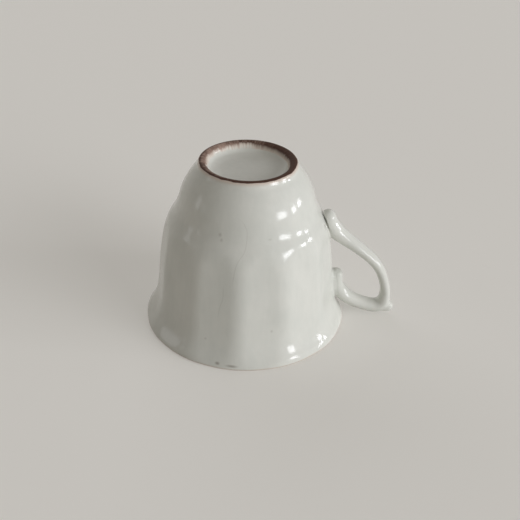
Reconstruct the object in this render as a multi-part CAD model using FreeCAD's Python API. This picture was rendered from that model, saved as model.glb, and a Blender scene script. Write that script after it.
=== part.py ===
import FreeCAD, Part
import math
import os
from FreeCAD import Vector

# A panelled earthenware teacup, standing upside down on its lip.
# Millimetres. The origin is on the cup's axis, in the plane that the lip rests on.
# +Z points up through the foot ring, and the handle stands out towards +X.

# ---- driving dimensions ----
rim_radius = 45.0
cup_height = 76.7
wall_thickness = 3.0
panel_count = 12
first_panel_edge = -4.0       # degrees round from +X
lip_round = 1.0
bearing_round = 0.9           # on the foot ring's outer edge
round_steps = (0, 30, 60, 90)   # degrees round the quarter circle at the lip and at the bearing edge

# ---- outside of the bowl and foot ----
# Each station is a height as a share of cup_height, a radius over the panel edges as a share of rim_radius,
# and how flat the panels are there: 0 for a round wall, 1 for sharp edges between the panels.
wall_stations = (
    (0.000, 1.005, 0.05),     # lip
    (0.033, 0.988, 0.42),
    (0.066, 0.954, 0.51),     # flare
    (0.112, 0.917, 0.55),
    (0.170, 0.890, 0.58),
    (0.250, 0.873, 0.62),     # bell wall
    (0.341, 0.860, 0.62),
    (0.432, 0.844, 0.62),
    (0.511, 0.824, 0.60),
    (0.570, 0.805, 0.55),
    (0.617, 0.780, 0.33),
    (0.659, 0.749, 0.06),     # shoulder, where the panels end
    (0.712, 0.695, 0.00),
    (0.764, 0.662, 0.00),     # crease below the dome
    (0.828, 0.629, 0.00),
    (0.886, 0.581, 0.00),
    (0.938, 0.522, 0.00),
    (0.968, 0.484, 0.00),     # turn into the foot ring
    (1.000, 0.463, 0.00),     # bearing edge
)
points_per_panel = 4

# ---- inside of the bowl ----
inner_floor_height = 68.7
hollow_heights = (0.033, 0.066, 0.112, 0.170, 0.250, 0.341, 0.432, 0.511, 0.570, 0.659, 0.712, 0.764, 0.815)
floor_corner_height = 65.6
floor_corner_radius = 22.4
floor_edge_height = 68.1
floor_edge_radius = 16.0

# ---- foot ring, and the slip that sticks it to the bowl ----
foot_plane = 72.0
foot_slip_thickness = 0.3
ring_base_radius = 17.3       # inner edge of the ring's base
recess_floor_radius = 12.4    # where the slip thins out on the bowl's underside
recess_slope = (15.2, 72.8)   # radius and height of a point half way up the slip's hollow face
slip_crest = (16.9, 74.2)     # where the slip ends on the ring
ring_shoulder = (17.6, 75.6)
crest_radius = 19.3           # inner edge of the face that the cup rests on

# ---- handle ----
# Each station is a height, a distance from the axis, the thickness in the handle's plane, and the width
# across it.
handle_stations = (
    (53.5, 34.7, 1.8, 2.0),   # rounded top of the upper end
    (53.2, 34.8, 3.6, 4.0),
    (52.3, 35.0, 5.4, 6.0),
    (50.6, 35.4, 6.8, 7.5),
    (47.5, 36.3, 7.5, 8.2),   # upper joint
    (43.0, 39.7, 7.2, 8.0),
    (39.7, 43.7, 6.4, 7.6),
    (35.8, 48.9, 5.6, 7.3),
    (29.4, 56.3, 4.9, 7.1),
    (23.3, 60.8, 4.6, 7.0),
    (15.5, 63.6, 4.6, 7.0),   # grip
    (9.8, 64.2, 5.2, 7.0),
    (5.8, 63.2, 6.4, 7.0),    # corner under the spur
    (4.2, 60.2, 6.3, 7.1),
    (5.0, 55.4, 5.9, 7.3),
    (7.1, 49.8, 6.0, 7.5),
    (10.4, 45.0, 6.5, 7.7),
    (15.0, 41.7, 6.5, 7.8),   # lower joint
    (18.6, 41.1, 6.5, 7.6),
    (21.4, 41.0, 6.0, 6.9),
    (22.7, 41.0, 4.4, 5.2),
    (23.2, 41.0, 2.0, 2.4),   # rounded top of the lower end
)
spur_stations = (
    (4.6, 62.4, 6.4, 6.4),
    (4.1, 64.6, 5.8, 5.6),
    (3.9, 66.2, 5.4, 5.2),
    (3.9, 67.3, 4.8, 4.6),
    (3.9, 68.1, 3.6, 3.4),
    (3.9, 68.6, 1.6, 1.6),    # tip
)
points_per_section = 12
joint_gap = 0.8               # thickness of slip between the wall and the handle's ends
slip_pads = {                 # height, half height and half width of each pad
    "upper_joint_slip": (45.2, 5.4, 3.0),
    "lower_joint_slip": (14.2, 6.2, 3.2),
}


def station_heights():
    return [share * cup_height for share, _, _ in wall_stations]


def smooth(xs, ys, x):
    """A smooth curve through the points, with each slope set by the points on either side."""
    last = len(xs) - 1
    i = max(0, min(last - 1, sum(1 for value in xs if value <= x) - 1))

    def slope(k):
        low = max(0, k - 1)
        high = min(last, k + 1)
        return (ys[high] - ys[low]) / (xs[high] - xs[low])

    step = xs[i + 1] - xs[i]
    t = (x - xs[i]) / step
    return ((2 * t**3 - 3 * t**2 + 1) * ys[i] + (t**3 - 2 * t**2 + t) * step * slope(i)
            + (3 * t**2 - 2 * t**3) * ys[i + 1] + (t**3 - t**2) * step * slope(i + 1))


def edge_radius(height):
    """Distance from the axis to the wall over a panel's edge."""
    return smooth(station_heights(), [share * rim_radius for _, share, _ in wall_stations], height)


def flatness(height):
    return max(0.0, smooth(station_heights(), [flat for _, _, flat in wall_stations], height))


def middle_radius(height):
    """Distance from the axis to the middle of a panel."""
    sharp_corner = 1 / math.cos(math.pi / panel_count)
    return edge_radius(height) / (1 + flatness(height) * (sharp_corner - 1))


def wall_radius(turn, height):
    """Distance from the axis to a polygon with rounded corners, at an angle from its first corner."""
    half = math.pi / panel_count
    middle = middle_radius(height)
    flat = flatness(height)
    from_corner = half - abs(turn % (2 * half) - half)
    from_middle = half - from_corner
    if math.tan(from_middle) <= flat * math.tan(half):
        return middle / math.cos(from_middle)
    corner_round = middle * (1 - flat)
    centre = (middle - corner_round) / math.cos(half)
    return centre * math.cos(from_corner) + math.sqrt(corner_round**2 - (centre * math.sin(from_corner))**2)


def at(radius, height):
    return Vector(radius, 0, height)


def line(start, end):
    return Part.LineSegment(start, end).toShape()


def curve(points):
    spline = Part.BSplineCurve()
    spline.interpolate(Points=points)
    return spline.toShape()


def closed_curve(points):
    """A smooth closed wire through the points."""
    spline = Part.BSplineCurve()
    numbers = [float(k) for k in range(len(points) + 1)]
    spline.interpolate(Points=points, PeriodicFlag=True, Parameters=numbers)
    return Part.Wire([spline.toShape()])


def rounding(radius, depth):
    """How far a rounded edge stands back from the wall, at a depth below its crest."""
    if depth >= radius:
        return 0.0
    return radius - math.sqrt(radius**2 - (radius - depth)**2)


def edge_rounding(height):
    return rounding(lip_round, height) + rounding(bearing_round, cup_height - height)


def section_heights():
    """The wall's stations, with closer ones round the lip and the bearing edge."""
    depths = [1 - math.cos(math.radians(step)) for step in round_steps]
    lip = [lip_round * depth for depth in depths]
    bearing = [cup_height - bearing_round * depth for depth in reversed(depths)]
    return lip + station_heights()[1:-1] + bearing


def wall_section(height, outwards):
    start = math.radians(first_panel_edge)
    count = panel_count * points_per_panel
    points = []
    for k in range(count):
        turn = 2 * math.pi * k / count
        radius = wall_radius(turn, height) - edge_rounding(height) + outwards
        points.append(Vector(radius * math.cos(start + turn), radius * math.sin(start + turn), height))
    return closed_curve(points)


def wall_solid(outwards=0.0):
    """Everything inside the outer wall, from the lip to the foot's bearing edge."""
    return Part.makeLoft([wall_section(height, outwards) for height in section_heights()], True, False)


def between(solid, bottom, top):
    """The part of a solid between two heights."""
    return solid.common(Part.makeCylinder(2 * rim_radius, top - bottom, at(0, bottom))).removeSplitter()


def turned(edges):
    """The solid that a closed outline sweeps out round the axis."""
    return Part.Face(Part.Wire(edges)).revolve(Vector(0, 0, 0), Vector(0, 0, 1), 360)


def hollow():
    """The inside of the bowl, which widens round the lip."""
    mouth = middle_radius(lip_round) - wall_thickness
    bend = lip_round * (1 - math.cos(math.pi / 4))
    wall_end = at(mouth, lip_round)
    lip_end = at(mouth + lip_round, 0)
    lip = Part.Arc(wall_end, at(mouth + bend, bend), lip_end).toShape()
    heights = [share * cup_height for share in hollow_heights]
    wall = [at(middle_radius(height) - wall_thickness, height) for height in heights]
    floor = [at(floor_corner_radius, floor_corner_height), at(floor_edge_radius, floor_edge_height)]
    top = at(0, inner_floor_height)
    inside = curve([wall_end] + wall + floor + [top])
    return turned([lip, inside, line(top, at(0, 0)), line(at(0, 0), lip_end)])


def make_bowl():
    return between(wall_solid(), 0.0, foot_plane).cut(hollow())


def make_foot_slip():
    """A flat bed under the ring, and the slip that fills the corner inside it."""
    base = foot_plane + foot_slip_thickness
    bed = between(wall_solid(), foot_plane, base)
    hole = Part.makeCylinder(ring_base_radius, foot_slip_thickness, at(0, foot_plane))
    thin_edge = at(recess_floor_radius, foot_plane)
    crest = at(*slip_crest)
    bed_top = at(ring_base_radius, base)
    bed_bottom = at(ring_base_radius, foot_plane)
    hollow_face = Part.Arc(thin_edge, at(*recess_slope), crest).toShape()
    ring_side = line(crest, bed_top)
    bed_side = line(bed_top, bed_bottom)
    corner = turned([hollow_face, ring_side, bed_side, line(bed_bottom, thin_edge)])
    return bed.cut(hole).fuse(corner).removeSplitter()


def make_foot_ring():
    base = foot_plane + foot_slip_thickness
    bed_centre = at(0, base)
    bed_edge = at(ring_base_radius, base)
    slip_end = at(*slip_crest)
    crest_edge = at(crest_radius, cup_height)
    crest_centre = at(0, cup_height)
    inner_face = Part.Arc(slip_end, at(*ring_shoulder), crest_edge).toShape()
    well = turned([line(bed_centre, bed_edge), line(bed_edge, slip_end), inner_face,
                   line(crest_edge, crest_centre), line(crest_centre, bed_centre)])
    return between(wall_solid(), base, cup_height).cut(well)


def oval(station, along):
    """An oval section across a rod that runs along a direction in the handle's plane."""
    height, reach, thickness, width = station
    across = Vector(along.z, 0, -along.x)
    points = []
    for k in range(points_per_section):
        turn = 2 * math.pi * k / points_per_section
        in_plane = across * (thickness / 2 * math.cos(turn))
        sideways = Vector(0, width / 2 * math.sin(turn), 0)
        points.append(at(reach, height) + in_plane + sideways)
    return closed_curve(points)


def rod(stations):
    """A smooth rod through oval sections, each square to its centreline."""
    centres = [at(reach, height) for height, reach, _, _ in stations]
    sections = []
    for k, station in enumerate(stations):
        before = centres[max(0, k - 1)]
        after = centres[min(len(centres) - 1, k + 1)]
        sections.append(oval(station, (after - before).normalize()))
    return Part.makeLoft(sections, True, False)


def make_handle(joint_wall):
    return rod(handle_stations).fuse(rod(spur_stations)).cut(joint_wall)


def make_slip_pad(name, bowl_wall, joint_wall):
    """A pad of slip that follows the wall and fills the joint."""
    height, half_height, half_width = slip_pads[name]
    edge = Part.Ellipse(Vector(0, 0, 0), half_height, half_width).toShape()
    outline = Part.Face(Part.Wire([edge]))
    outline.rotate(Vector(0, 0, 0), Vector(0, 1, 0), -90)
    outline.translate(Vector(0, 0, height))
    prism = outline.extrude(Vector(2 * rim_radius, 0, 0))
    return prism.common(joint_wall).cut(bowl_wall)


def make_nodes():
    bowl_wall = wall_solid()
    joint_wall = wall_solid(joint_gap)
    nodes = {
        "bowl": make_bowl(),
        "foot_slip": make_foot_slip(),
        "foot_ring": make_foot_ring(),
        "handle": make_handle(joint_wall),
    }
    for name in slip_pads:
        nodes[name] = make_slip_pad(name, bowl_wall, joint_wall)
    return nodes


if __name__ == "__main__":
    os.makedirs("parts", exist_ok=True)
    for node, shape in make_nodes().items():
        print(node, len(shape.Solids), "solid", round(shape.Volume, 1), "mm3", shape.isValid())
        shape.exportStep("parts/%s.step" % node)
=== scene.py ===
# %% [markdown]
# # A panelled teacup, standing upside down on its lip
#
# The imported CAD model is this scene's frame. It holds each clay piece of the cup at its real size:
# the bowl, the foot ring, the handle, and the slip that sticks them together. The pieces modelled
# below stand in the same places and take their heights from it, so nothing has to be fitted
# afterwards. Blender works in metres here, so each length that is written in millimetres is
# multiplied by `mm`.

# %% Load the frame
import math
import bmesh
import bpy
from mathutils import Matrix, Vector


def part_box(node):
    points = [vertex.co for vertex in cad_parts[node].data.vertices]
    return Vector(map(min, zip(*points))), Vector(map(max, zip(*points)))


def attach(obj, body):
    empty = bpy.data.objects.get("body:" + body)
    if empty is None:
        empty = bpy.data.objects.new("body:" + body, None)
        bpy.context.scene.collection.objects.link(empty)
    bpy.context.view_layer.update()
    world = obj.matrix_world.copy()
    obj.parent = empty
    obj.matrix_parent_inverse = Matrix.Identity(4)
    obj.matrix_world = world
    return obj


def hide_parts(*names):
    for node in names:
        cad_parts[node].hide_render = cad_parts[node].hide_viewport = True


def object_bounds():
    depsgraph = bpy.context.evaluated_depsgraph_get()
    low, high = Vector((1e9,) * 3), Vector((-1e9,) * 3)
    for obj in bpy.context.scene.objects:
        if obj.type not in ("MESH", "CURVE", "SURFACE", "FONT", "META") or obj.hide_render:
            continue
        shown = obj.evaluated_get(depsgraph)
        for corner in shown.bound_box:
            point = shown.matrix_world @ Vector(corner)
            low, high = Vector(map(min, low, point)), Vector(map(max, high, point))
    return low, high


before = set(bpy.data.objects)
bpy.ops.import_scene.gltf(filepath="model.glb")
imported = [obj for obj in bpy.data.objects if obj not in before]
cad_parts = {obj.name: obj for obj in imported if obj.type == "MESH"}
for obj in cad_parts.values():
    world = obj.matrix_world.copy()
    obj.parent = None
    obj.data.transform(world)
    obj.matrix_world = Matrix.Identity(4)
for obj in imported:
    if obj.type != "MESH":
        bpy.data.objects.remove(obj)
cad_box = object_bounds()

mm = 0.001
rim_radius = 45.0 * mm
cup_height = cad_box[1].z
foot_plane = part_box("bowl")[1].z
ring_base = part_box("foot_ring")[0].z
print("lip radius %.1f mm, height %.1f mm" % (rim_radius / mm, cup_height / mm))

# %% [markdown]
# ## The wall's outline
#
# The outside is a turned shape with twelve soft flats pressed into it. Real ones are jolleyed: a
# plaster mould gives the clay its panels, its round shoulder and the flare at the lip, and a tool
# shapes the inside while the mould spins. An outline could be a bezier drawn by eye, but a short
# table is easier to read and to correct. Each row is a height from the lip up, as a share of the
# cup's, a radius, as a share of the lip's, and how flat the panels are there, and `smooth` joins the
# rows with one flowing curve.

# %% Outline of the wall
wall_stations = (             # height, radius, flatness
    (0.000, 1.005, 0.05),     # lip
    (0.033, 0.988, 0.42),
    (0.066, 0.954, 0.51),     # flare
    (0.112, 0.917, 0.55),
    (0.170, 0.890, 0.58),
    (0.250, 0.873, 0.62),     # bell
    (0.341, 0.860, 0.62),
    (0.432, 0.844, 0.62),
    (0.511, 0.824, 0.60),
    (0.570, 0.805, 0.55),
    (0.617, 0.780, 0.33),
    (0.659, 0.749, 0.06),     # shoulder, where the panels end
    (0.712, 0.695, 0.00),
    (0.764, 0.662, 0.00),     # crease below the dome
    (0.828, 0.629, 0.00),
    (0.886, 0.581, 0.00),
    (0.938, 0.522, 0.00),
    (0.968, 0.484, 0.00),     # turn into the foot ring
    (1.000, 0.463, 0.00),     # bearing edge
)
panel_count = 12
first_panel_edge = math.radians(-4)


def smooth(xs, ys, x):
    """A smooth curve through the points, with each slope set by the points on either side."""
    last = len(xs) - 1
    i = max(0, min(last - 1, sum(1 for value in xs if value <= x) - 1))

    def slope(k):
        low = max(0, k - 1)
        high = min(last, k + 1)
        return (ys[high] - ys[low]) / (xs[high] - xs[low])

    step = xs[i + 1] - xs[i]
    t = (x - xs[i]) / step
    return ((2 * t**3 - 3 * t**2 + 1) * ys[i] + (t**3 - 2 * t**2 + t) * step * slope(i)
            + (3 * t**2 - 2 * t**3) * ys[i + 1] + (t**3 - t**2) * step * slope(i + 1))


station_heights, station_radii, station_flats = zip(*wall_stations)


def edge_radius(height):
    """Distance from the axis to the wall over a panel's edge."""
    return rim_radius * smooth(station_heights, station_radii, height / cup_height)


def flatness(height):
    """0 where the wall is round, and 1 where its panels would meet in sharp edges."""
    return max(0.0, smooth(station_heights, station_flats, height / cup_height))


def wall_radius(turn, height):
    """Distance from the axis to the panelled wall, at an angle from a panel's edge."""
    half = math.pi / panel_count
    flat = flatness(height)
    middle = edge_radius(height) / (1 + flat * (1 / math.cos(half) - 1))
    from_edge = half - abs(turn % (2 * half) - half)
    if math.tan(half - from_edge) <= flat * math.tan(half):
        return middle / math.cos(half - from_edge)
    centre = middle * flat / math.cos(half)
    corner = middle * (1 - flat)
    return centre * math.cos(from_edge) + math.sqrt(corner**2 - (centre * math.sin(from_edge))**2)


print("wall radius at mid height %.1f mm" % (edge_radius(cup_height / 2) / mm))

# %% [markdown]
# ## Turning a piece on the axis
#
# Clay on a wheel is a lathe job, so the bowl, the slip under the foot and the foot ring are all made
# with `bmesh.ops.spin`. A Screw modifier turns an outline too, but the panels are pressed in point by
# point, and that needs a finished mesh. The outline is drawn as a chain of edges in the XZ plane and
# spun a full turn with `use_merge`, which welds the last copy to the first. Points that lie on the
# axis end up as a stack of doubles, so these are merged before the normals are recalculated.

# %% Turn an outline round the axis
turn_steps = 16 * panel_count  # sixteen faces to each panel
weld_distance = 0.001 * mm
sharp_angle = 40               # degrees that an edge bends by where it should look sharp
never_sharp = 180


def turned(outline, closed=False, steps=turn_steps):
    """A bmesh of an outline of (radius, height) pairs, spun round the Z axis."""
    bm = bmesh.new()
    verts = [bm.verts.new((radius, 0, height)) for radius, height in outline]
    edges = [bm.edges.new(pair) for pair in zip(verts, verts[1:])]
    if closed:
        edges.append(bm.edges.new((verts[-1], verts[0])))
    bmesh.ops.rotate(bm, verts=verts, matrix=Matrix.Rotation(first_panel_edge, 3, "Z"))
    bmesh.ops.spin(bm, geom=verts + edges, axis=(0, 0, 1), cent=(0, 0, 0), angle=2 * math.pi,
                   steps=steps, use_merge=True)
    bmesh.ops.remove_doubles(bm, verts=bm.verts, dist=weld_distance)
    bmesh.ops.recalc_face_normals(bm, faces=bm.faces)
    return bm


def finished(bm, name, materials, sharp_from=sharp_angle):
    """Turns a bmesh into an object of the cup, smooth except where it bends sharply."""
    mesh = bpy.data.meshes.new(name)
    bm.to_mesh(mesh)
    bm.free()
    mesh.shade_smooth()
    mesh.set_sharp_from_angle(angle=math.radians(sharp_from))
    for material in materials:
        mesh.materials.append(material)
    piece = bpy.data.objects.new(name, mesh)
    bpy.context.scene.collection.objects.link(piece)
    print(name, len(mesh.polygons), "faces")
    return piece


print("a turned piece has", turn_steps, "faces round it, or more")

# %% [markdown]
# ## Helpers for finishes
#
# Each finish is a small tree of shader nodes. They could be placed and joined by hand, but one
# helper that adds a node, sets its properties and joins its inputs keeps a tree readable as a list
# of steps. All colours are sRGB hex values, as picked from a screen, and `rgb` turns them to the
# linear values that the shader works in.

# %% Material helpers
def rgb(hex_colour):
    """Linear RGBA from an sRGB hex colour."""
    values = [int(hex_colour[i:i + 2], 16) / 255 for i in (1, 3, 5)]
    return [v / 12.92 if v <= 0.04045 else ((v + 0.055) / 1.055)**2.4 for v in values] + [1.0]


def new_material(name):
    """An empty material, ready for its nodes."""
    material = bpy.data.materials.new(name)
    material.use_nodes = True
    material.node_tree.nodes.clear()
    print("material", name)
    return material


def node(tree, kind, settings=None, **inputs):
    """Adds a node, sets its properties, then gives each input a value or joins it to another node.

    An input goes by its name, or by its number, as in i6, where several inputs share a name.
    """
    made = tree.nodes.new(kind)
    for key, value in (settings or {}).items():
        setattr(made, key, value)
    for key, value in inputs.items():
        by_number = key[0] == "i" and key[1:].isdigit()
        socket = made.inputs[int(key[1:]) if by_number else key.replace("_", " ")]
        if isinstance(value, bpy.types.Node):
            value = next(output for output in value.outputs if output.enabled)
        if isinstance(value, bpy.types.NodeSocket):
            tree.links.new(value, socket)
        else:
            socket.default_value = value
    return made


print("a mid grey on the screen is %.2f in linear light" % rgb("#808080")[0])

# %% [markdown]
# ## The glaze
#
# The body is cream earthenware, and a clear glossy glaze covers it. To the eye that is a pale,
# faintly cloudy white under crisp reflections, which waver because the skin isn't quite even. A
# second, transparent shell could be modelled round the clay, but a glaze is thinner than its own
# ripples. So one Principled shader does both, with a diffuse colour below and a low roughness on
# top. The IOR of 1.52 is that of glass, which a glaze is. The clouds are about a thumb wide, the
# streaks upright, as a glaze runs, the ripples a few millimetres long, and the lines level, because
# the wheel turns.

# %% Glaze
cloud_size = 16 * mm
streak_size = 2.2 * mm
streak_share = 0.3             # how much of the cloudiness is streaks
ripple_size = 6 * mm
ripple_depth = 0.06 * mm
wheel_line_size = 1.8 * mm
wheel_line_depth = 0.016 * mm
peel_size = 1.3 * mm
peel_depth = 0.010 * mm
drawn_out = 0.12               # streaks and wheel lines are about eight times as long as wide
noise_low = 0.35               # most of a noise's values lie between these two
noise_high = 0.65
dull_glaze = "#D8DAD3"
bright_glaze = "#E1E2DB"
glaze_roughness = 0.13         # worn a little on the bowl's wall
pooled_roughness = 0.04        # where the glaze pooled thick, on the handle and the slip
glaze_ior = 1.52


def glaze_colour(tree, place):
    """Pale body seen through the glaze, with soft clouds and fainter upright streaks."""
    cloud = node(tree, "ShaderNodeTexNoise", Vector=place, Scale=1 / cloud_size, Detail=3.0)
    upright = node(tree, "ShaderNodeMapping", Vector=place, Scale=(1.0, 1.0, drawn_out))
    streak = node(tree, "ShaderNodeTexNoise", Vector=upright, Scale=1 / streak_size, Detail=2.0)
    both = node(tree, "ShaderNodeMix", {"data_type": "FLOAT"}, Factor=streak_share, A=cloud, B=streak)
    spread = node(tree, "ShaderNodeMapRange", Value=both, From_Min=noise_low, From_Max=noise_high)
    return node(tree, "ShaderNodeMix", {"data_type": "RGBA"}, i0=spread, i6=rgb(dull_glaze),
                i7=rgb(bright_glaze))


def glaze_skin(tree, place):
    """Bump of the skin: long ripples, level lines from the wheel, and fine dimples as on an orange."""
    ripple = node(tree, "ShaderNodeTexNoise", Vector=place, Scale=1 / ripple_size, Detail=1.0)
    level = node(tree, "ShaderNodeMapping", Vector=place, Scale=(drawn_out, drawn_out, 1.0))
    wheel = node(tree, "ShaderNodeTexNoise", Vector=level, Scale=1 / wheel_line_size, Detail=1.0)
    peel = node(tree, "ShaderNodeTexNoise", Vector=place, Scale=1 / peel_size, Detail=1.0)
    waves = node(tree, "ShaderNodeBump", Height=ripple, Strength=1.0, Distance=ripple_depth)
    lines = node(tree, "ShaderNodeBump", Height=wheel, Strength=1.0, Distance=wheel_line_depth,
                 Normal=waves)
    return node(tree, "ShaderNodeBump", Height=peel, Strength=1.0, Distance=peel_depth, Normal=lines)


def close_glaze(tree, colour, normal, roughness=glaze_roughness):
    """The shader at the end of each glazed finish."""
    shader = node(tree, "ShaderNodeBsdfPrincipled", Base_Color=colour, Normal=normal,
                  Roughness=roughness, IOR=glaze_ior)
    node(tree, "ShaderNodeOutputMaterial", Surface=shader)


def make_glaze():
    """Clear glaze on cream earthenware: a cool pale white with small, sharp lights."""
    material = new_material("clear_glaze_on_cream_earthenware")
    tree = material.node_tree
    place = node(tree, "ShaderNodeTexCoord").outputs["Object"]
    close_glaze(tree, glaze_colour(tree, place), glaze_skin(tree, place), pooled_roughness)
    return material


glaze = make_glaze()

# %% [markdown]
# ## Age marks on the bowl
#
# An old cup has a few hairlines, specks of iron that came up through the glaze, grey scuffs on the
# lip, and a warm line where the glaze ran thin over the lip's edge. An image would be the usual way
# to paint them, but a mark is only a place, a size and a colour, so each is drawn from the distance
# to it. A hairline is a curve of angle against height. At its true 0.05 mm it would vanish, so
# it is drawn about 0.4 mm wide and faint.

# %% Places of the age marks
hairlines = (                  # (height as a share of the cup's, degrees round from +X)
    ((0.826, -94.5), (0.794, -90.9), (0.758, -89.5), (0.707, -90.0), (0.671, -91.4), (0.634, -94.6),
     (0.597, -96.5), (0.549, -97.5), (0.508, -98.1)),
    ((0.468, -104.1), (0.421, -104.0), (0.381, -104.9), (0.343, -106.0), (0.297, -106.7)),
)
marks = (                      # degrees, height, width round the cup, height of the mark, strength
    (-110.5, 56.9, 1.8, 2.1, 0.24),
    (-108.8, 55.0, 1.6, 2.1, 0.21),
    (-72.2, 55.7, 2.2, 1.0, 0.15),
    (-72.9, 15.6, 1.3, 1.6, 0.20),
    (-114.2, 10.5, 1.6, 1.2, 0.20),
    (-104.6, 2.2, 2.4, 1.5, 0.60),
    (-96.5, 2.0, 6.0, 1.3, 0.55),
    (38.0, 30.0, 1.3, 1.4, 0.35),
    (96.0, 52.0, 1.4, 1.2, 0.30),
    (171.0, 18.0, 1.6, 1.2, 0.35),
    (140.0, 1.9, 4.2, 1.2, 0.50),
)
print(len(hairlines), "hairlines and", len(marks), "marks")

# %% Hairlines, specks and scuffs
hairline_width = 0.4 * mm
hairline_fade = 0.02           # share of the cup's height over which its ends fade out
mark_reach = 1.3               # a mark fades out over this many times its half size


def hairline(tree, angle, height, points):
    """How dark a hairline is, from 0 to 1, at an angle and a height on the wall."""
    heights, degrees = zip(*points)
    first, last = min(degrees), max(degrees)
    path = node(tree, "ShaderNodeFloatCurve", Value=height)
    curve = path.mapping.curves[0]        # it has two points from the start
    for k, (share, degree) in enumerate(sorted(points)):
        place = (share, (degree - first) / (last - first))
        if k < 2:
            curve.points[k].location = place
        else:
            curve.points.new(*place)
    path.mapping.update()
    target = node(tree, "ShaderNodeMapRange", Value=path, To_Min=math.radians(first),
                  To_Max=math.radians(last))
    away = node(tree, "ShaderNodeMath", {"operation": "SUBTRACT"}, i0=angle, i1=target)
    apart = node(tree, "ShaderNodeMath", {"operation": "ABSOLUTE"}, i0=away)
    width_as_turn = hairline_width / edge_radius((heights[0] + heights[-1]) / 2 * cup_height)
    line = node(tree, "ShaderNodeMapRange", {"interpolation_type": "SMOOTHSTEP"}, Value=apart,
                From_Min=0.0, From_Max=width_as_turn, To_Min=1.0, To_Max=0.0)
    low, high = min(heights), max(heights)
    below = node(tree, "ShaderNodeMapRange", Value=height, From_Min=low - hairline_fade,
                 From_Max=low + hairline_fade)
    above = node(tree, "ShaderNodeMapRange", Value=height, From_Min=high + hairline_fade,
                 From_Max=high - hairline_fade)
    ends = node(tree, "ShaderNodeMath", {"operation": "MULTIPLY"}, i0=below, i1=above)
    return node(tree, "ShaderNodeMath", {"operation": "MULTIPLY"}, i0=line, i1=ends)


def mark(tree, place, degrees, height, width, tall, strength):
    """How dark a soft round mark is, from 0 to 1."""
    turn = math.radians(degrees)
    radius = wall_radius(turn - first_panel_edge, height * mm)
    centre = (radius * math.cos(turn), radius * math.sin(turn), height * mm)
    away = node(tree, "ShaderNodeVectorMath", {"operation": "SUBTRACT"}, i0=place, i1=centre)
    scaled = node(tree, "ShaderNodeVectorMath", {"operation": "DIVIDE"}, i0=away,
                  i1=(width / 2 * mm, width / 2 * mm, tall / 2 * mm))
    apart = node(tree, "ShaderNodeVectorMath", {"operation": "LENGTH"}, i0=scaled)
    return node(tree, "ShaderNodeMapRange", {"interpolation_type": "SMOOTHSTEP"},
                Value=apart.outputs["Value"], From_Min=0.0, From_Max=mark_reach, To_Min=strength,
                To_Max=0.0)


def darkest(tree, masks):
    """The strongest of several masks at each point."""
    worst = masks[0]
    for mask in masks[1:]:
        worst = node(tree, "ShaderNodeMath", {"operation": "MAXIMUM"}, i0=worst, i1=mask)
    return worst


print("a hairline is drawn", hairline_width / mm, "mm wide")

# %% Glaze with age marks
hairline_strength = 0.13
hairline_colour = "#8C8578"
mark_colour = "#6E6053"
lip_line_from = 0.2 * mm       # heights between which the warm line at the lip fades out
lip_line_to = 1.1 * mm
lip_line_strength = 0.5
lip_line_colour = "#CDAE99"


def make_aged_glaze():
    """The same glaze after years of use: a few faint specks and lines, and a warm edge at the lip."""
    material = new_material("clear_glaze_with_age_marks")
    tree = material.node_tree
    place = node(tree, "ShaderNodeTexCoord").outputs["Object"]
    axes = node(tree, "ShaderNodeSeparateXYZ", Vector=place)
    angle = node(tree, "ShaderNodeMath", {"operation": "ARCTAN2"}, i0=axes.outputs["Y"],
                 i1=axes.outputs["X"])
    height = node(tree, "ShaderNodeMath", {"operation": "DIVIDE"}, i0=axes.outputs["Z"], i1=cup_height)
    thin = node(tree, "ShaderNodeMapRange", {"interpolation_type": "SMOOTHSTEP"},
                Value=axes.outputs["Z"], From_Min=lip_line_from, From_Max=lip_line_to,
                To_Min=lip_line_strength, To_Max=0.0)
    colour = node(tree, "ShaderNodeMix", {"data_type": "RGBA"}, i0=thin, i6=glaze_colour(tree, place),
                  i7=rgb(lip_line_colour))
    lines = darkest(tree, [hairline(tree, angle, height, points) for points in hairlines])
    faint = node(tree, "ShaderNodeMath", {"operation": "MULTIPLY"}, i0=lines, i1=hairline_strength)
    colour = node(tree, "ShaderNodeMix", {"data_type": "RGBA"}, i0=faint, i6=colour,
                  i7=rgb(hairline_colour))
    spots = darkest(tree, [mark(tree, place, *where) for where in marks])
    colour = node(tree, "ShaderNodeMix", {"data_type": "RGBA"}, i0=spots, i6=colour,
                  i7=rgb(mark_colour))
    close_glaze(tree, colour, glaze_skin(tree, place))
    return material


aged_glaze = make_aged_glaze()

# %% [markdown]
# ## The bowl
#
# The bowl is the body of the cup: a wall about 3 mm thick that is pressed against a panelled mould
# outside and shaped by a round tool inside. A loft through twelve-sided sections would do, but the
# inside is round, so the whole outline, inside and outside, is spun as one shell, left open along
# the lip where the outline's two ends aren't joined, and then the outer wall's points are moved in
# to make the flats. The move fades out through the thickness of the lip, so the round inside isn't
# touched.

# %% Points along an outline
def rounding(radius, depth):
    """How far a rounded edge stands back from the wall, at a depth below its crest."""
    depth = min(depth, radius)
    return radius - math.sqrt(radius**2 - (radius - depth)**2)


def quarter_depths(radius, steps=6):
    """Depths below a rounded edge's crest, closer together near the crest."""
    return [radius * (1 - math.cos(math.pi / 2 * k / steps)) for k in range(steps + 1)]


def evenly(start, end, step):
    """Numbers from start to end, both included, about one step apart."""
    count = max(1, round(abs(end - start) / step))
    return [start + (end - start) * k / count for k in range(count + 1)]


def curve_through(points, steps):
    """Points on a smooth curve through the given ones."""
    numbers = list(range(len(points)))
    columns = list(zip(*points))
    count = (len(points) - 1) * steps
    return [tuple(smooth(numbers, column, k / steps) for column in columns) for k in range(count + 1)]


print("a rounded edge gets", len(quarter_depths(mm)), "points")

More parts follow.
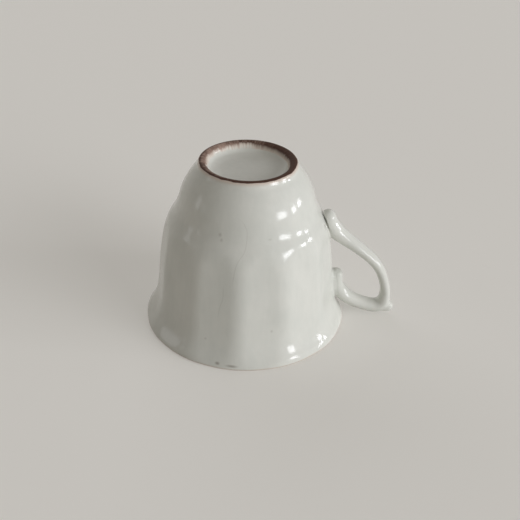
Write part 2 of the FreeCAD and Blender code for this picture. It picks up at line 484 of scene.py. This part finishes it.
# %% Outline of the bowl
wall_thickness = 3.0 * mm
lip_round = 1.0 * mm
floor_corner = (22.4 * mm, 65.6 * mm)     # radius and height, as in every outline
floor_edge = (16.0 * mm, 68.1 * mm)
inner_floor = (0.0, 68.7 * mm)
inner_heights = station_heights[1:15]     # the inside follows the wall from the lip to the dome
inner_steps = 5                           # points on the curve from one height to the next
wall_step = 0.8 * mm
underside_step = 2.0 * mm


def middle_radius(height):
    """Distance from the axis to the middle of a panel."""
    return wall_radius(math.pi / panel_count, height)


def outer_outline():
    """(radius, height) pairs up the outside of the wall over a panel's edge."""
    heights = quarter_depths(lip_round) + evenly(lip_round, foot_plane, wall_step)[1:]
    return [(edge_radius(height) - rounding(lip_round, height), height) for height in heights]


def bowl_outline():
    """The outline of the bowl: up the outside, in to the axis, and down the inside, back to the lip but
    not joined to its start.
    """
    inside = [(middle_radius(share * cup_height) - wall_thickness, share * cup_height)
              for share in inner_heights]
    inside = [(inside[0][0], lip_round)] + inside + [floor_corner, floor_edge, inner_floor]
    lip = [(inside[0][0] + rounding(lip_round, depth), depth) for depth in quarter_depths(lip_round)]
    underside = [(radius, foot_plane) for radius in evenly(edge_radius(foot_plane), 0, underside_step)]
    return outer_outline() + underside[1:] + curve_through(inside, inner_steps)[::-1] + lip[-2::-1]


bowl_section = bowl_outline()
print("bowl outline", len(bowl_section), "points")

# %% Bowl
on_the_axis = 1.0 * mm         # points nearer to the axis than this have no wall to follow


def press_panels(bm):
    """Moves the outer wall's points in, so that the round wall gets its flats."""
    for vert in bm.verts:
        radius = vert.co.xy.length
        if radius < on_the_axis:
            continue
        height = vert.co.z
        depth = edge_radius(height) - radius
        share = 1 - min(1, max(0, depth / wall_thickness))
        turn = math.atan2(vert.co.y, vert.co.x) - first_panel_edge
        pressed = wall_radius(turn, height) / edge_radius(height)
        vert.co.xy *= 1 + (pressed - 1) * share


bm = turned(bowl_section)
press_panels(bm)
bowl = finished(bm, "glazed_bowl", [aged_glaze])
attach(bowl, "root")
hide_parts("bowl")

# %% [markdown]
# ## The recess in the foot
#
# The foot ring is a coil of clay, luted on with slip, which is a cream of clay and water. The slip
# also fills the corner inside the ring, so that the recess is a shallow dish. Two curves could draw
# the slip and the ring apart, but they would have to meet. So one curve draws the whole recess, and
# it is split where the slip ends, which leaves no step between the two pieces.

# %% Recess
bearing_round = 0.9 * mm
recess_points = [(radius * mm, height * mm) for radius, height in (
    (9.5, 72.0), (12.6, 72.15), (15.3, 72.8), (16.8, 73.9), (17.5, 75.2), (18.2, 76.2), (19.3, 76.7))]
slip_top = 3                   # the slip ends at this point of the curve
recess_steps = 6               # curve points from one of these to the next
behind_edge = (0.3 * mm, -0.6 * mm)       # the joint runs back under the slip's edge by this much
corner_radius = 17.3 * mm      # and turns out under the ring here
foot_step = 0.5 * mm
foot_turn_steps = 2 * turn_steps          # the foot's faces are finer, like its details


def ring_outline(low, high):
    """(radius, height) pairs up the outside of the foot, between two heights."""
    return [(edge_radius(height), height) for height in evenly(low, high, foot_step)]


recess = curve_through(recess_points, recess_steps)
split = slip_top * recess_steps
behind_slip = (recess[split][0] + behind_edge[0], recess[split][1] + behind_edge[1])
corner_behind = (corner_radius, ring_base)
print("recess", len(recess), "points")

# %% [markdown]
# ## The slip under the ring
#
# Between bowl and ring lies a bed of slip, and its inner edge runs out thin over the bowl's
# underside. It could be left out, since glaze hides the joint, but the dish of the recess is this
# slip's own face. The outline goes in along the dish, back under the ring, and is spun like the rest.

# %% Foot slip
slip_outline = (recess[:split + 1] + [behind_slip, corner_behind]
                + ring_outline(foot_plane, ring_base)[::-1])
bm = turned(slip_outline, closed=True, steps=foot_turn_steps)
foot_slip = finished(bm, "glazed_foot_slip", [glaze])
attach(foot_slip, "root")
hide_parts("foot_slip")

# %% [markdown]
# ## Bare clay on the crest
#
# The crest is wiped before firing, so that the ring doesn't stick to the kiln shelf. Bare
# earthenware soaks up tea and dirt: it is brown-black where it has been left alone, and rubbed to a
# pinkish brown where the cup has slid on its foot. One material draws glaze and clay with a ragged
# border between them, by the distance from the axis. Two materials would need a border of faces,
# and that would look cut with scissors.

# %% Streaks of the sponge
bare_from = 17.4 * mm          # the border on the inner slope
bare_to = 20.7 * mm            # the border on the outer edge
streak_width = 0.9 * mm        # a sponge leaves finer streaks, which wouldn't show
streak_length = 4 * mm


def wiped_streaks(tree, flat, radius):
    """Noise drawn out along the radius, from the direction round the ring and the distance out."""
    around = node(tree, "ShaderNodeVectorMath", {"operation": "NORMALIZE"}, i0=flat)
    around = node(tree, "ShaderNodeVectorMath", {"operation": "SCALE"}, i0=around,
                  Scale=bare_to / streak_width)
    outward = node(tree, "ShaderNodeMath", {"operation": "DIVIDE"}, i0=radius, i1=streak_length)
    along = node(tree, "ShaderNodeCombineXYZ", Z=outward)
    place = node(tree, "ShaderNodeVectorMath", i0=around, i1=along)
    return node(tree, "ShaderNodeTexNoise", Vector=place, Scale=1.0, Detail=3.0)


print("bare clay is about %.1f mm wide" % ((bare_to - bare_from) / mm))

# %% Border between glaze and clay
wear_starts = -0.1             # how far towards the worn side, as a share of the foot's radius
wear_is_full = 0.5
crisp_border = 0.15 * mm       # how far a crisp border wanders
glaze_reach = 0.9 * mm         # how far the glaze's streaks reach out on the worn side
clay_reach = 0.3 * mm          # how far the clay's reach in there
inner_blur = 0.5 * mm
outer_blur = 0.1 * mm
blotch_low = 0.3               # the outer border wanders with the blotches between these values
blotch_high = 0.7


def inner_border(tree, radius, side, fray):
    """The radius, shifted so that the border is brushed out into streaks on the worn side."""
    glaze_shift = node(tree, "ShaderNodeMapRange", Value=side, From_Min=wear_starts,
                       From_Max=wear_is_full, To_Min=-crisp_border, To_Max=-glaze_reach)
    clay_shift = node(tree, "ShaderNodeMapRange", Value=side, From_Min=wear_starts,
                      From_Max=wear_is_full, To_Min=crisp_border, To_Max=clay_reach)
    shift = node(tree, "ShaderNodeMapRange", Value=fray, From_Min=noise_low, From_Max=noise_high,
                 To_Min=glaze_shift, To_Max=clay_shift)
    return node(tree, "ShaderNodeMath", i0=radius, i1=shift)


def bare_clay(tree, radius, inner, blotches):
    """1 where the clay is bare and 0 under the glaze. The outer border is crisp."""
    inside = node(tree, "ShaderNodeMapRange", {"interpolation_type": "SMOOTHSTEP"}, Value=inner,
                  From_Min=bare_from - inner_blur, From_Max=bare_from + inner_blur)
    shift = node(tree, "ShaderNodeMapRange", Value=blotches, From_Min=blotch_low,
                 From_Max=blotch_high, To_Min=-crisp_border, To_Max=crisp_border)
    outer = node(tree, "ShaderNodeMath", i0=radius, i1=shift)
    outside = node(tree, "ShaderNodeMapRange", {"interpolation_type": "SMOOTHSTEP"}, Value=outer,
                   From_Min=bare_to + outer_blur, From_Max=bare_to - outer_blur)
    return node(tree, "ShaderNodeMath", {"operation": "MULTIPLY"}, i0=inside, i1=outside)


print("its inner border wanders over %.1f mm" % ((glaze_reach + clay_reach) / mm))

# %% Stained clay and warm glaze
stained_clay = "#452A1D"
rubbed_clay = "#A99184"
streaks_against_side = 5.0     # how much more the streaks count in the wear than the side does
stained_below = 2.0            # wear up to which the clay is only stained
rubbed_above = 4.4             # wear from which it is rubbed clean
dark_from = 19.5 * mm          # radii between which the crest darkens to its outer edge
dark_to = 20.2 * mm
edge_darkness = 0.9
thin_inside = 1.2 * mm         # how far the glaze is thin beside the clay
thin_outside = 0.9 * mm
warmth_inside = 0.6
warmth_outside = 0.8
warm_glaze = "#D0B7A6"


def stained(tree, radius, side, fray):
    """Clay that is rubbed on one side, stained elsewhere, and always dark along its outer edge."""
    rubbed = node(tree, "ShaderNodeMath", {"operation": "MULTIPLY_ADD"}, i0=fray,
                  i1=streaks_against_side, i2=side)
    edge_line = node(tree, "ShaderNodeMapRange", Value=radius, From_Min=dark_from, From_Max=dark_to,
                     To_Min=0.0, To_Max=-edge_darkness)
    worn = node(tree, "ShaderNodeMath", i0=rubbed, i1=edge_line)
    share = node(tree, "ShaderNodeMapRange", {"interpolation_type": "SMOOTHSTEP"}, Value=worn,
                 From_Min=stained_below, From_Max=rubbed_above)
    return node(tree, "ShaderNodeMix", {"data_type": "RGBA"}, i0=share, i6=rgb(stained_clay),
                i7=rgb(rubbed_clay))


def warmed(tree, place, radius, inner):
    """Glaze that is thin beside the clay, and shows its warm colour there."""
    beside_inner = node(tree, "ShaderNodeMapRange", {"interpolation_type": "SMOOTHSTEP"}, Value=inner,
                        From_Min=bare_from - thin_inside, From_Max=bare_from, To_Min=0.0,
                        To_Max=warmth_inside)
    beside_outer = node(tree, "ShaderNodeMapRange", {"interpolation_type": "SMOOTHSTEP"}, Value=radius,
                        From_Min=bare_to, From_Max=bare_to + thin_outside, To_Min=warmth_outside,
                        To_Max=0.0)
    near = node(tree, "ShaderNodeMath", {"operation": "MINIMUM"}, i0=beside_inner, i1=beside_outer)
    return node(tree, "ShaderNodeMix", {"data_type": "RGBA"}, i0=near, i6=glaze_colour(tree, place),
                i7=rgb(warm_glaze))


print("clay from", stained_clay, "to", rubbed_clay, "beside glaze of", warm_glaze)

# %% Glaze wiped off the crest
worn_side = Vector((-0.9, 0.45, 0.0))     # from the axis towards the side that is rubbed most
blotch_size = 5 * mm
blotch_share = 0.5             # how much of the border's fraying is blotches
clay_roughness = 0.7
clay_relief = 0.12 * mm        # how far the sponge's streaks stand up on the bare clay


def make_wiped_glaze():
    """Bare clay on the crest, dark with old tea and rubbed pale on one side, and glaze beside it."""
    material = new_material("glaze_wiped_off_stained_earthenware")
    tree = material.node_tree
    place = node(tree, "ShaderNodeTexCoord").outputs["Object"]
    flat = node(tree, "ShaderNodeVectorMath", {"operation": "MULTIPLY"}, i0=place, i1=(1, 1, 0))
    radius = node(tree, "ShaderNodeVectorMath", {"operation": "LENGTH"}, i0=flat).outputs["Value"]
    side = node(tree, "ShaderNodeVectorMath", {"operation": "DOT_PRODUCT"}, i0=flat,
                i1=worn_side / edge_radius(cup_height)).outputs["Value"]
    streaks = wiped_streaks(tree, flat, radius)
    blotches = node(tree, "ShaderNodeTexNoise", Vector=place, Scale=1 / blotch_size, Detail=2.0)
    fray = node(tree, "ShaderNodeMix", {"data_type": "FLOAT"}, Factor=blotch_share, A=streaks,
                B=blotches)
    inner = inner_border(tree, radius, side, fray)
    bare = bare_clay(tree, radius, inner, blotches)
    colour = node(tree, "ShaderNodeMix", {"data_type": "RGBA"}, i0=bare,
                  i6=warmed(tree, place, radius, inner), i7=stained(tree, radius, side, fray))
    roughness = node(tree, "ShaderNodeMix", {"data_type": "FLOAT"}, Factor=bare, A=glaze_roughness,
                     B=clay_roughness)
    raised = node(tree, "ShaderNodeMath", {"operation": "MULTIPLY"}, i0=streaks, i1=bare)
    skin = node(tree, "ShaderNodeBump", Height=raised, Strength=1.0, Distance=clay_relief,
                Normal=glaze_skin(tree, place))
    close_glaze(tree, colour, skin, roughness)
    return material


wiped_glaze = make_wiped_glaze()

# %% [markdown]
# ## The foot ring
#
# The ring is what the cup stands on when it is in use. It goes on down the line of the wall, rounds
# over at the bearing edge, and falls back into the recess. A torus would be quicker, but a foot like
# this one is turned with a tool and isn't round in section. So it gets an outline of its own, from
# the wall's curve outside and the recess's curve inside.

# %% Foot ring
bearing_start = cup_height - bearing_round
outer_round = [(edge_radius(cup_height - depth) - rounding(bearing_round, depth), cup_height - depth)
               for depth in reversed(quarter_depths(bearing_round))]
ring_shape = (ring_outline(ring_base, bearing_start)[:-1] + outer_round + recess[:split - 1:-1]
              + [behind_slip, corner_behind])
bm = turned(ring_shape, closed=True, steps=foot_turn_steps)
foot_ring = finished(bm, "foot_ring_with_bare_crest", [wiped_glaze])
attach(foot_ring, "root")
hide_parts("foot_ring")

# %% [markdown]
# ## The handle
#
# A pulled handle is one tapering rod of clay, bent into a loop, with a small spur pinched out at its
# outer corner. It could be a curve with a bevel, but a curve's section can't be thick one way and
# thin the other along its length. So an oval face is extruded from section to section instead. The
# spur is a second rod, and a voxel remesh melts both into one skin, as wet clay would be.

# %% Sections of the handle
handle_stations = (            # height, reach, thickness in the handle's plane, width across it
    (53.5, 34.7, 1.8, 2.0),
    (53.2, 34.8, 3.6, 4.0),
    (52.3, 35.0, 5.4, 6.0),
    (50.6, 35.4, 6.8, 7.5),
    (47.5, 36.3, 7.5, 8.2),
    (43.0, 39.7, 7.2, 8.0),
    (39.7, 43.7, 6.4, 7.6),
    (35.8, 48.9, 5.6, 7.3),
    (29.4, 56.3, 4.9, 7.1),
    (23.3, 60.8, 4.6, 7.0),
    (15.5, 63.6, 4.6, 7.0),
    (9.8, 64.2, 5.2, 7.0),
    (5.8, 63.2, 6.4, 7.0),
    (4.2, 60.2, 6.3, 7.1),
    (5.0, 55.4, 5.9, 7.3),
    (7.1, 49.8, 6.0, 7.5),
    (10.4, 45.0, 6.5, 7.7),
    (15.0, 41.7, 6.5, 7.8),
    (18.6, 41.1, 6.5, 7.6),
    (21.4, 41.0, 6.0, 6.9),
    (22.7, 41.0, 4.4, 5.2),
    (23.2, 41.0, 2.0, 2.4),
)
spur_stations = (              # the same four measures
    (4.6, 62.4, 6.4, 6.4),
    (4.1, 64.6, 5.8, 5.6),
    (3.9, 66.2, 5.4, 5.2),
    (3.9, 67.3, 4.8, 4.6),
    (3.9, 68.1, 3.6, 3.4),
    (3.9, 68.6, 1.6, 1.6),
)
print("the handle reaches", spur_stations[-1][1], "mm from the axis")

# %% Rods of clay
rod_steps = 6                  # sections from one station to the next
rod_sides = 32


def draw_rod(bm, stations):
    """Extrudes an oval face through the stations, each square to the rod's centreline."""
    sections = curve_through([[value * mm for value in station] for station in stations], rod_steps)
    centres = [Vector((reach, 0, height)) for height, reach, _, _ in sections]
    verts = bmesh.ops.create_circle(bm, cap_ends=True, radius=1, segments=rod_sides)["verts"]
    cap = verts[0].link_faces[0]
    before = Matrix.Identity(4)
    for k, (height, reach, thickness, width) in enumerate(sections):
        if k:
            grown = bmesh.ops.extrude_face_region(bm, geom=[cap])["geom"]
            verts = [part for part in grown if isinstance(part, bmesh.types.BMVert)]
            cap = [part for part in grown if isinstance(part, bmesh.types.BMFace)][0]
        along = (centres[min(k + 1, len(centres) - 1)] - centres[max(k - 1, 0)]).normalized()
        across = Vector((along.z, 0, -along.x))
        place = Matrix((across * thickness / 2, Vector((0, width / 2, 0)), along)).transposed().to_4x4()
        place.translation = centres[k]
        bmesh.ops.transform(bm, matrix=place @ before.inverted(), verts=verts)
        before = place


print("a rod has", rod_sides, "sides")

# %% Melting and pressing
voxel = 0.3 * mm
softening = 0.5                # how far a point moves towards its neighbours in one pass
joint_gap = 0.8 * mm           # room for the slip between handle and wall


def melted(bm, passes):
    """A bmesh with one skin round solids that overlap, and its joins softened."""
    bmesh.ops.recalc_face_normals(bm, faces=bm.faces)
    mesh = bpy.data.meshes.new("wet_clay")
    bm.to_mesh(mesh)
    clay = bpy.data.objects.new("wet_clay", mesh)
    bpy.context.scene.collection.objects.link(clay)
    skin = clay.modifiers.new("skin", "REMESH")
    skin.mode = "VOXEL"
    skin.voxel_size = voxel
    bm.clear()
    bm.from_object(clay, bpy.context.evaluated_depsgraph_get())
    bpy.data.objects.remove(clay)
    for _ in range(passes):
        bmesh.ops.smooth_vert(bm, verts=bm.verts, factor=softening, use_axis_x=True,
                              use_axis_y=True, use_axis_z=True)
    return bm


def press_on_wall(bm):
    """Flattens what would be inside the wall against it, with room for the slip."""
    for vert in bm.verts:
        radius = vert.co.xy.length
        turn = math.atan2(vert.co.y, vert.co.x) - first_panel_edge
        least = wall_radius(turn, vert.co.z) + joint_gap
        if radius < least:
            vert.co.xy *= least / radius


print("voxels of", voxel / mm, "mm, and a gap of", joint_gap / mm, "mm at the wall")

# %% Handle
handle_softening = 10          # passes

bm = bmesh.new()
draw_rod(bm, handle_stations)
draw_rod(bm, spur_stations)
melted(bm, handle_softening)
press_on_wall(bm)
handle = finished(bm, "glazed_handle", [glaze], sharp_from=never_sharp)
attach(handle, "root")
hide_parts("handle")

# %% [markdown]
# ## Slip at the handle's joints
#
# The handle is stuck on with slip, and what squeezes out is wiped round the joint with a wet brush.
# It could be drawn as a fillet between two surfaces, but neither of them is simple. So a stub of the
# handle and a patch of the wall are melted into one skin, each a hair under the real surface, and
# then smoothed. Smoothing shrinks whatever bulges and fills whatever is hollow, so the skin comes
# out into the open only in the corner between handle and wall, which is where slip lies.

# %% Sections of the stubs
lower_slip_stations = (        # height, reach, thickness and width, as for the handle
    (7.6, 48.6, 5.8, 7.2),
    (10.4, 45.0, 6.3, 7.6),
    (15.0, 41.0, 6.3, 8.2),
    (18.6, 40.4, 6.2, 8.2),
    (21.2, 40.3, 5.8, 7.6),
    (22.4, 39.9, 4.8, 6.2),
    (23.0, 39.5, 3.2, 4.4),
)
upper_slip_stations = (
    (49.4, 34.4, 3.0, 3.4),
    (48.0, 35.2, 4.6, 5.4),
    (45.6, 37.0, 6.2, 7.2),
    (43.0, 39.6, 6.8, 7.8),
    (40.6, 42.6, 6.4, 7.4),
)
print("stubs of", len(lower_slip_stations), "and", len(upper_slip_stations), "sections")

# %% Patches and drops on the wall
patch_depth = 0.06 * mm
patch_thickness = 1.5 * mm
patch_squares = 40             # each way
patch_half_width = 9 * mm
drop_flatness = 0.4


def wall_patch(bm, low, high):
    """Adds a plate that follows the wall between two heights, just under its surface."""
    made = bmesh.ops.create_grid(bm, x_segments=patch_squares, y_segments=patch_squares,
                                 size=1)["verts"]
    for vert in made:
        height = (low + high) / 2 + vert.co.y * (high - low) / 2
        turn = vert.co.x * patch_half_width / rim_radius
        radius = wall_radius(turn - first_panel_edge, height) - patch_depth
        vert.co = (radius * math.cos(turn), radius * math.sin(turn), height)
    faces = list({face for vert in made for face in vert.link_faces})
    bmesh.ops.recalc_face_normals(bm, faces=faces)
    bmesh.ops.solidify(bm, geom=faces, thickness=patch_thickness)


def drop_on_wall(bm, degrees, height, radius):
    """Adds a flat drop of slip, half sunk in the wall."""
    turn = math.radians(degrees)
    reach = wall_radius(turn - first_panel_edge, height)
    place = (Matrix.Rotation(turn, 4, "Z") @ Matrix.Translation((reach, 0, height))
             @ Matrix.Diagonal((drop_flatness, 1, 1, 1)))
    bmesh.ops.create_icosphere(bm, subdivisions=3, radius=radius, matrix=place)


print("patches start", patch_depth / mm, "mm under the wall's surface")

# %% Slip round the joints
lower_patch = (4 * mm, 29 * mm)           # lowest and highest height
lower_softening = 80                      # passes
upper_patch = (32 * mm, 52 * mm)
upper_softening = 40
upper_drop = (-10.6, 48.6 * mm, 1.7 * mm)     # degrees round from +X, height, radius


def make_slip(name, stations, patch, passes, drops=()):
    """Slip between a patch of the wall and a stub of the handle, with any drops beside it."""
    bm = bmesh.new()
    draw_rod(bm, stations)
    wall_patch(bm, *patch)
    for drop in drops:
        drop_on_wall(bm, *drop)
    return finished(melted(bm, passes), name, [glaze], sharp_from=never_sharp)


lower_slip = make_slip("glazed_slip_at_lower_joint", lower_slip_stations, lower_patch, lower_softening)
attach(lower_slip, "root")
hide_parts("lower_joint_slip")

upper_slip = make_slip("glazed_slip_at_upper_joint", upper_slip_stations, upper_patch, upper_softening,
                       drops=[upper_drop])
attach(upper_slip, "root")
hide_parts("upper_joint_slip")

# %% [markdown]
# ## Floor and room
#
# The floor is a plain pale disc that catches the cup's shadow, and an even pale world stands for the
# room and fills the shadows. A curved backdrop would hide the horizon, but it would stand in the way
# when the camera goes round the cup, and a wide disc looks the same from all sides. Enough light to
# make both look pale would wash out the cup. So they look paler than they shine: Light Path tells
# the rays that look at them, straight or mirrored, from the rays that light the cup.

# %% Rays that look at the room
def seen_rays(tree):
    """1 for rays that see the background, straight or mirrored, and 0 for those that light the cup."""
    ray = node(tree, "ShaderNodeLightPath").outputs
    seen = node(tree, "ShaderNodeMath", {"operation": "MAXIMUM"}, i0=ray["Is Camera Ray"],
                i1=ray["Is Glossy Ray"])
    return node(tree, "ShaderNodeMath", {"operation": "MAXIMUM"}, i0=seen,
                i1=ray["Is Transmission Ray"])


print("camera, glossy and transmission rays see the room as it looks")

# %% Floor
floor_radius = 4.0
floor_sides = 96
floor_glow = 0.20              # what the floor adds to its own colour for rays that look at it
floor_colour = "#DAD8D3"
floor_glow_colour = "#FFFDF8"
floor_roughness = 0.9


def make_floor():
    """A matt pale disc, evenly light, so that nothing on it competes with the cup."""
    material = new_material("matt_floor_paint")
    tree = material.node_tree
    glow = node(tree, "ShaderNodeMath", {"operation": "MULTIPLY"}, i0=seen_rays(tree), i1=floor_glow)
    shader = node(tree, "ShaderNodeBsdfPrincipled", Base_Color=rgb(floor_colour),
                  Roughness=floor_roughness, Emission_Color=rgb(floor_glow_colour),
                  Emission_Strength=glow)
    node(tree, "ShaderNodeOutputMaterial", Surface=shader)
    bm = bmesh.new()
    bmesh.ops.create_circle(bm, cap_ends=True, segments=floor_sides, radius=floor_radius)
    mesh = bpy.data.meshes.new("floor")
    bm.to_mesh(mesh)
    bm.free()
    mesh.materials.append(material)
    floor = bpy.data.objects.new("floor", mesh)
    bpy.context.scene.collection.objects.link(floor)


make_floor()
print("floor", 2 * floor_radius, "m across")

# %% [markdown]
# ## Lamps
#
# A cup this plain lives by its reflections, so the lamps are shaped like the windows of a room:
# three bright panes low on the right, which mirror as small crisp lights in the glaze, and a dim
# window with a slat beside it far on the left. The panes are too small to light the cup evenly, so a
# broad soft wall of light shines from their side, and a fainter one lifts the cup's back out of the
# shade. These two aren't mirrored, because their edges would draw lines over the glaze. Lamps close
# by would leave bright pools on the floor, so all stand far off, each placed by its compass angle and
# its angle above the floor as seen from the cup.

# %% Lamps
lamp_distance = 20.0           # far off, so that they light the floor evenly
lamp_colour = "#FAFBFF"
lamps = (                      # name, compass angle, angle up, degrees wide, degrees tall, brightness
    ("window_left", -31.0, 9.5, 16.5, 10.5, 8.6),
    ("window_middle", -6.2, 6.8, 8.5, 8.4, 11.5),
    ("window_right", 7.2, 6.8, 7.6, 5.5, 11.5),
    ("window_far", 180.0, 8.5, 9.0, 15.0, 0.9),
    ("window_far_slat", 194.0, 8.5, 3.0, 15.0, 0.9),
    ("soft_wall", -30.0, 18.0, 50.0, 28.0, 4.0),
    ("soft_back", 115.0, 25.0, 60.0, 40.0, 1.0),
)


def direction(azimuth, elevation):
    """Unit vector towards a compass angle from +X and an angle above the floor, in degrees."""
    turn = math.radians(azimuth)
    up = math.radians(elevation)
    return Vector((math.cos(turn) * math.cos(up), math.sin(turn) * math.cos(up), math.sin(up)))


def softbox(name, azimuth, elevation, wide, tall, brightness):
    """A rectangular lamp that faces the cup."""
    lamp = bpy.data.lights.new(name, "AREA")
    lamp.shape = "RECTANGLE"
    lamp.size = 2 * lamp_distance * math.tan(math.radians(wide / 2))
    lamp.size_y = 2 * lamp_distance * math.tan(math.radians(tall / 2))
    lamp.color = rgb(lamp_colour)[:3]
    lamp.energy = brightness * math.pi * lamp.size * lamp.size_y
    holder = bpy.data.objects.new(name, lamp)
    towards = direction(azimuth, elevation)
    holder.rotation_euler = (-towards).to_track_quat("-Z", "Y").to_euler()
    holder.location = Vector((0, 0, cup_height / 2)) + towards * lamp_distance
    holder.visible_glossy = name.startswith("window")
    holder.visible_camera = False
    bpy.context.scene.collection.objects.link(holder)


for lamp in lamps:
    softbox(*lamp)
print("lamps", len(bpy.data.lights))

# %% Room
room_light = 0.24              # how brightly the room lights the cup
room_light_colour = "#F5ECDF"
room_look = 0.56               # how bright the room looks
room_look_colour = "#F4F2EE"

world = bpy.data.worlds.new("studio")
bpy.context.scene.world = world
world.use_nodes = True
tree = world.node_tree
tree.nodes.clear()
seen = seen_rays(tree)
colour = node(tree, "ShaderNodeMix", {"data_type": "RGBA"}, i0=seen, i6=rgb(room_light_colour),
              i7=rgb(room_look_colour))
strength = node(tree, "ShaderNodeMix", {"data_type": "FLOAT"}, Factor=seen, A=room_light, B=room_look)
sky = node(tree, "ShaderNodeBackground", Color=colour, Strength=strength)
node(tree, "ShaderNodeOutputWorld", Surface=sky)
print("world", world.name)

# %% [markdown]
# ## Camera
#
# The camera looks down on the cup at about two fifths of a right angle, close enough for some
# perspective. It could be aimed with a constraint, but then it couldn't be turned a little off the
# cup. So it is placed by its direction and distance, and given three small turns of its head.

# %% Camera
camera_distance = 403.9 * mm   # from the middle of the lip
camera_azimuth = -90.0
camera_elevation = 35.73
tilt_up = math.radians(3.261)
turn_right = math.radians(0.931)
roll = math.radians(1.302)
lens = 59.95                   # millimetres, for a sensor 36 mm wide

camera = bpy.data.cameras.new("camera")
camera.lens = lens
viewer = bpy.data.objects.new("camera", camera)
down = Matrix.Rotation(math.radians(90 - camera_elevation) + tilt_up, 4, "X")
aim = down @ Matrix.Rotation(-turn_right, 4, "Y") @ Matrix.Rotation(roll, 4, "Z")
place = direction(camera_azimuth, camera_elevation) * camera_distance
viewer.matrix_world = Matrix.Translation(place) @ aim
bpy.context.scene.collection.objects.link(viewer)
bpy.context.scene.camera = viewer
bpy.context.scene.view_settings.view_transform = "Standard"
print("camera %.1f mm from the middle of the lip" % (camera_distance / mm))
